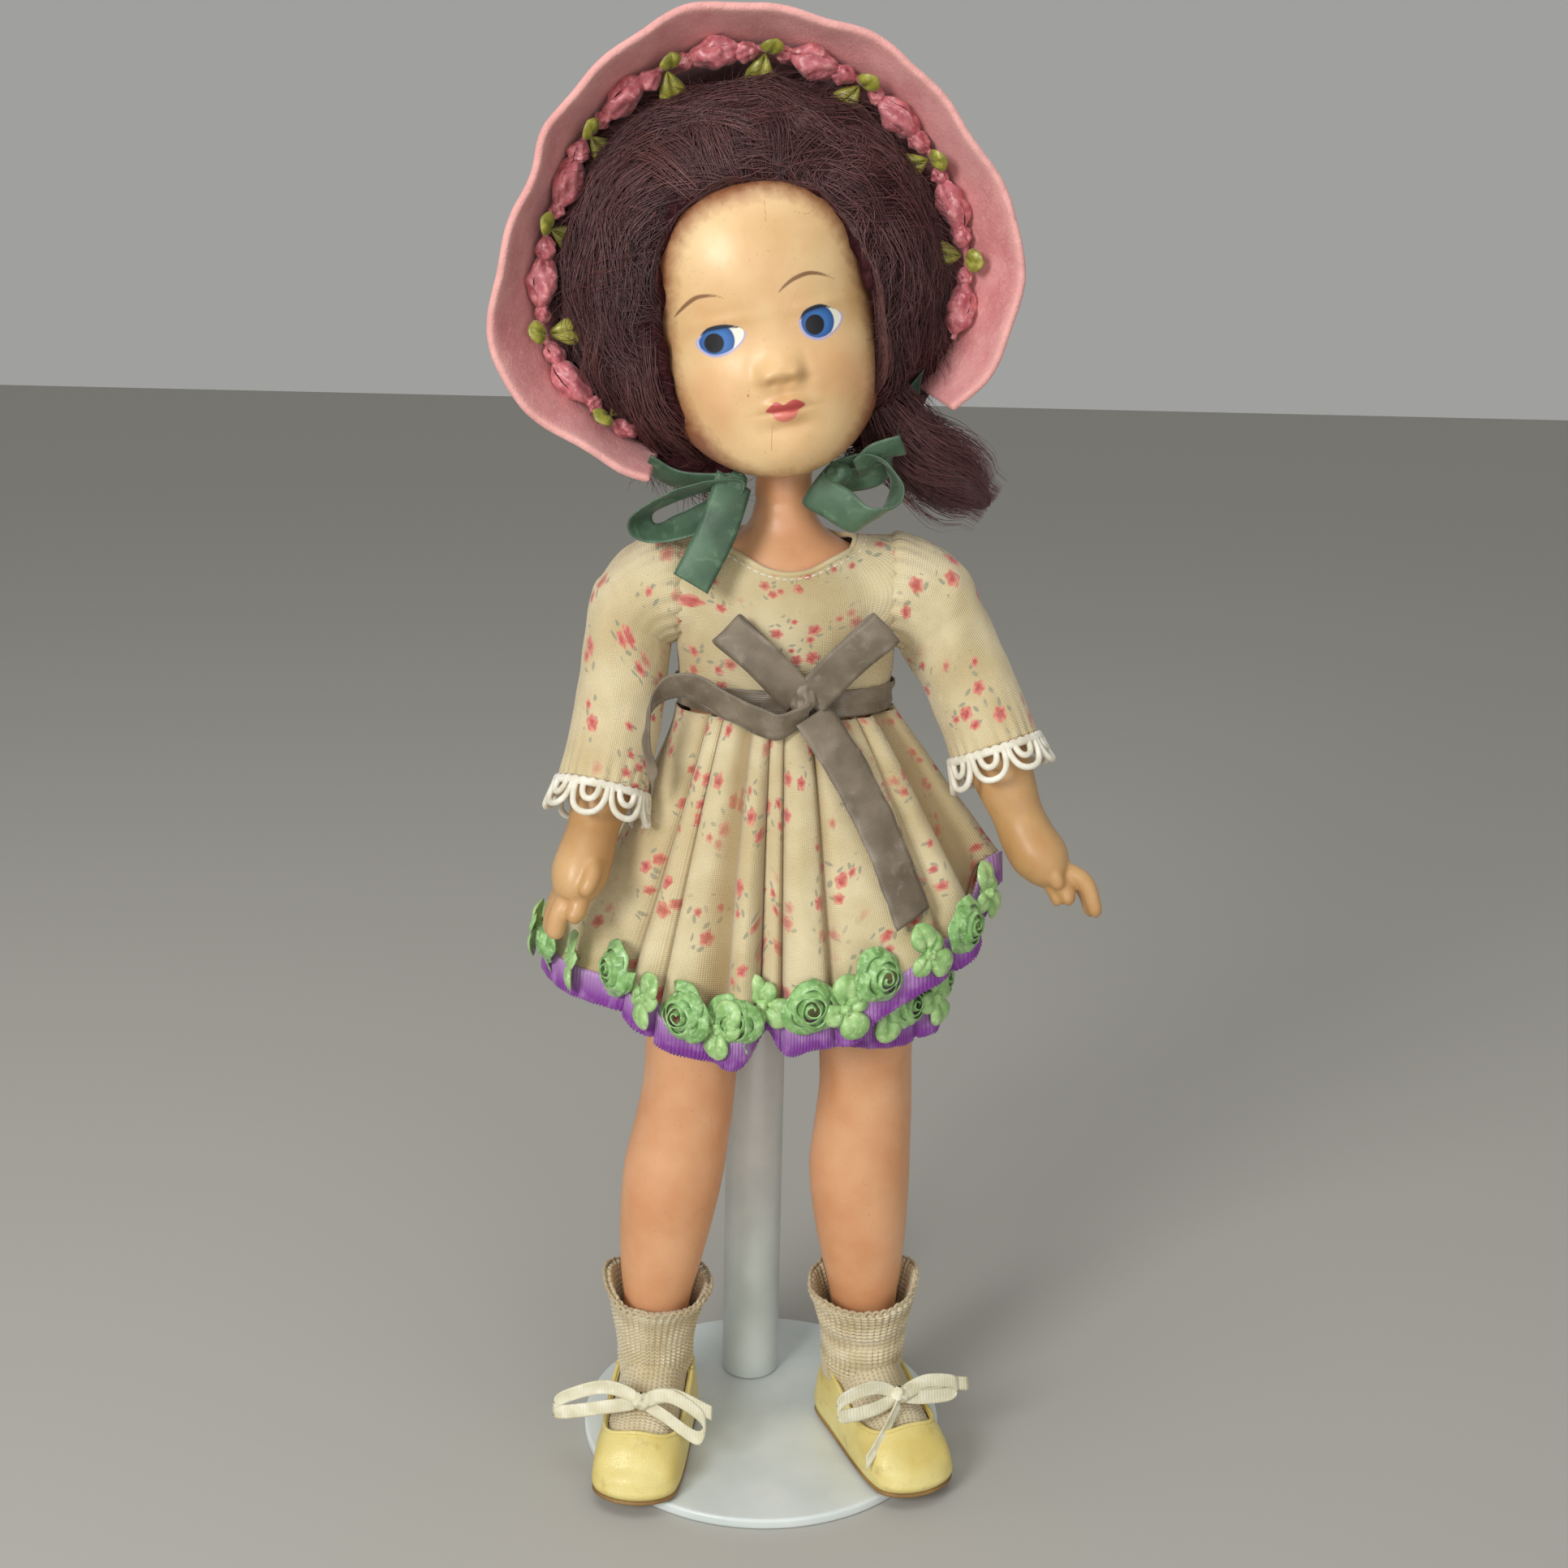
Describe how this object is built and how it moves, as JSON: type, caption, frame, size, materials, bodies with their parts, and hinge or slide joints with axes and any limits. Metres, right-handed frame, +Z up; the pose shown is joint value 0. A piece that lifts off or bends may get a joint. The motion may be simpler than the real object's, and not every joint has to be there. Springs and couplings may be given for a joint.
{
  "type": "doll",
  "caption": "Strung composition doll with turning head and swinging limbs, in a print dress, felt bonnet, socks and shoes, held by a waist-clip display stand.",
  "frame": {"origin": "centre of the underside of the stand's round base", "axes": "+Z up along the doll, -Y the way the doll faces, +X towards the doll's left hand"},
  "size_m": [0.1555, 0.104, 0.3822],
  "materials": {
    "stand_paint": "white enamel on steel",
    "nylon": "moulded nylon",
    "spring_wire": "drawn wire",
    "composition": "painted wood-pulp composition",
    "face_paint": "glossy painted wood-pulp composition",
    "elastic_cord": "braided over rubber",
    "hardwood": "plain turned dowel",
    "wig_gauze": "open cotton gauze",
    "mohair": "brushed mohair",
    "pink_felt": "wool felt",
    "garland": "satin ribbon roses",
    "green_ribbon": "satin ribbon",
    "print_voile": "printed cotton voile",
    "lace": "cotton loop lace",
    "purple_ribbon": "ribbed ruched ribbon",
    "rose_ribbon": "satin ribbon roses",
    "sash_ribbon": "satin ribbon",
    "knit": "ribbed cotton knit",
    "shoe_leather": "smooth dyed leather",
    "sole_leather": "cut edge leather",
    "tie_ribbon": "woven tape"
  },
  "bodies": {
    "stand": {"stand_base": "stand_paint", "stand_post": "stand_paint", "stand_bush": "nylon"},
    "torso": {"stand_rod": "stand_paint", "stand_clip": "spring_wire", "torso": "composition", "arm_elastic": "elastic_cord", "body_elastic": "elastic_cord", "dress_bodice": "print_voile", "dress_skirt": "print_voile", "hem_ribbon": "purple_ribbon", "hem_roses": "rose_ribbon", "sash_band": "sash_ribbon", "sash_bow": "sash_ribbon", "sash_tail_long": "sash_ribbon", "sash_tail_short": "sash_ribbon"},
    "neck": {"neck_hook": "spring_wire", "neck_bar": "hardwood"},
    "head": {"head": "face_paint", "wig_cap": "wig_gauze", "wig": "mohair", "hair_tail": "mohair", "hat_crown": "pink_felt", "hat_brim": "pink_felt", "hat_garland": "garland", "hat_tie_right": "green_ribbon", "hat_tie_left": "green_ribbon"},
    "arm_right": {"arm_right": "composition", "arm_hook_right": "spring_wire", "dress_sleeve_right": "print_voile", "lace_cuff_right": "lace"},
    "arm_left": {"arm_left": "composition", "arm_hook_left": "spring_wire", "dress_sleeve_left": "print_voile", "lace_cuff_left": "lace"},
    "leg_right": {"leg_right": "composition", "leg_hook_right": "spring_wire", "sock_right": "knit", "shoe_upper_right": "shoe_leather", "shoe_sole_right": "sole_leather", "shoe_tie_right": "tie_ribbon"},
    "leg_left": {"leg_left": "composition", "leg_hook_left": "spring_wire", "sock_left": "knit", "shoe_upper_left": "shoe_leather", "shoe_sole_left": "sole_leather", "shoe_tie_left": "tie_ribbon"}
  },
  "joints": [
    {"name": "stand_slide", "type": "slide", "parent": "stand", "child": "torso", "axis": [0, 0, 1], "range_m": [0, 0.025]},
    {"name": "neck_turn", "type": "hinge", "parent": "torso", "child": "neck", "pos_m": [0.0006, -0.006, 0.2796], "axis": [0, 0, 1], "range_deg": [-70, 70], "deforming": ["hair_tail", "hat_tie_right", "hat_tie_left"]},
    {"name": "neck_nod", "type": "hinge", "parent": "neck", "child": "head", "pos_m": [0.0006, -0.006, 0.2796], "axis": [0.9762, 0.0854, 0.1994], "range_deg": [-8, 8]},
    {"name": "arm_right_swing", "type": "hinge", "parent": "torso", "child": "arm_right", "pos_m": [-0.0255, -0.004, 0.2446], "axis": [-1, 0, 0], "range_deg": [-8, 100], "deforming": ["arm_elastic"]},
    {"name": "arm_left_swing", "type": "hinge", "parent": "torso", "child": "arm_left", "pos_m": [0.0295, -0.004, 0.2446], "axis": [-1, 0, 0], "range_deg": [-8, 100]},
    {"name": "leg_right_swing", "type": "hinge", "parent": "torso", "child": "leg_right", "pos_m": [-0.0065, -0.004, 0.1636], "axis": [-1, 0, 0], "range_deg": [0, 85], "deforming": ["dress_skirt", "hem_ribbon", "hem_roses", "sash_tail_long", "sash_tail_short", "body_elastic"]},
    {"name": "leg_left_swing", "type": "hinge", "parent": "torso", "child": "leg_left", "pos_m": [0.0105, -0.004, 0.1636], "axis": [-1, 0, 0], "range_deg": [0, 85]}
  ]
}
